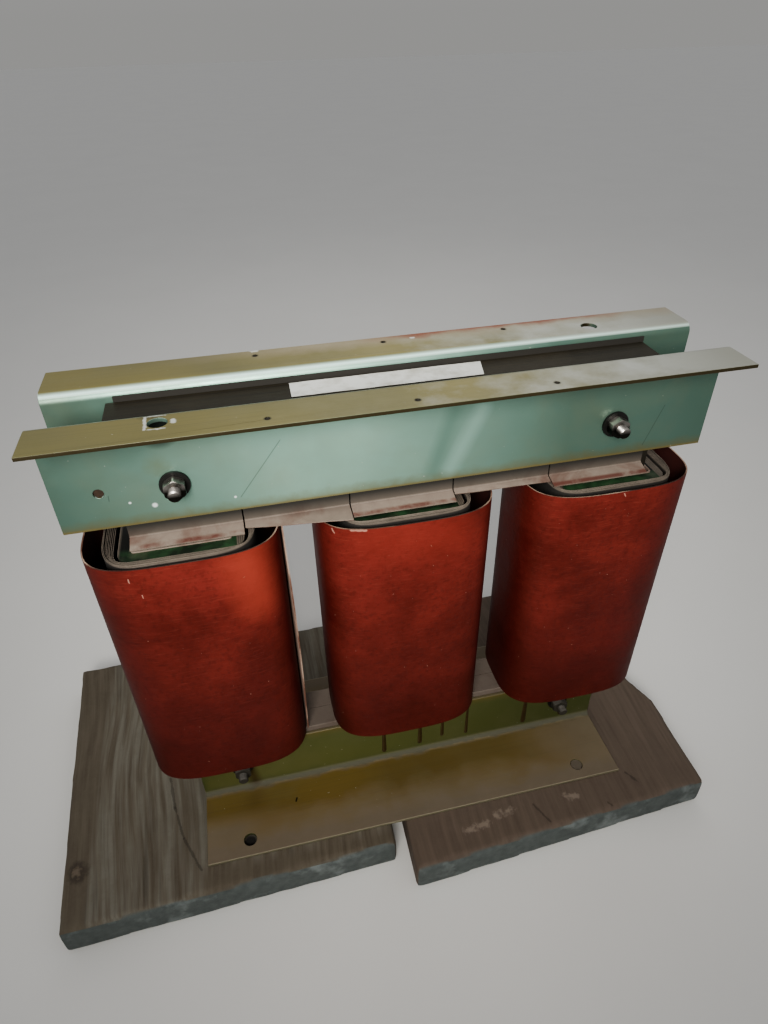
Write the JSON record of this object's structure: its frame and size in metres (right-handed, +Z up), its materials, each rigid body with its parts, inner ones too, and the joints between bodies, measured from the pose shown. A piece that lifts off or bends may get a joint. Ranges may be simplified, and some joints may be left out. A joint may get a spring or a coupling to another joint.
{
  "type": "open dry-type three-phase power transformer on plank boards",
  "caption": "Open dry-type power transformer: wound red-wrapped coils on a laminated core between folded steel clamps, standing on plank boards.",
  "frame": {"origin": "on the floor under the middle of the core, on the underside of the right board", "axes": "+X along the yokes from the left coil to the right coil, -Y towards the front clamps, +Z up"},
  "size_m": [0.9069, 0.4688, 0.6529],
  "materials": {
    "board": "weathered, dusty",
    "clamp": "zinc plated, yellow-green passivated, dusty",
    "fastener": "bright steel",
    "core": "varnished laminations, dull",
    "wrap": "varnished red insulating sheet",
    "paper": "dusty insulating paper",
    "inner_winding": "green varnished tape",
    "pressboard": "matt pressboard"
  },
  "bodies": {
    "root": {"left_board": "board", "right_board": "board", "bottom_clamp_front": "clamp", "bottom_clamp_rear": "clamp", "top_clamp_front": "clamp", "top_clamp_rear": "clamp", "bottom_yoke": "core", "top_yoke": "core", "left_leg": "core", "middle_leg": "core", "right_leg": "core", "bottom_sheet_front": "pressboard", "bottom_sheet_rear": "pressboard", "top_sheet_front": "pressboard", "top_sheet_rear": "pressboard", "left_coil_former": "pressboard", "middle_coil_former": "pressboard", "right_coil_former": "pressboard", "left_inner_winding": "inner_winding", "middle_inner_winding": "inner_winding", "right_inner_winding": "inner_winding", "left_outer_winding": "paper", "middle_outer_winding": "paper", "right_outer_winding": "paper", "left_coil_wrap": "wrap", "middle_coil_wrap": "wrap", "right_coil_wrap": "wrap", "top_bolt_left": "fastener", "top_bolt_right": "fastener", "bottom_bolt_left": "fastener", "bottom_bolt_right": "fastener", "top_nut_left": "fastener", "top_nut_right": "fastener", "bottom_nut_left": "fastener", "bottom_nut_right": "fastener"}
  },
  "joints": []
}
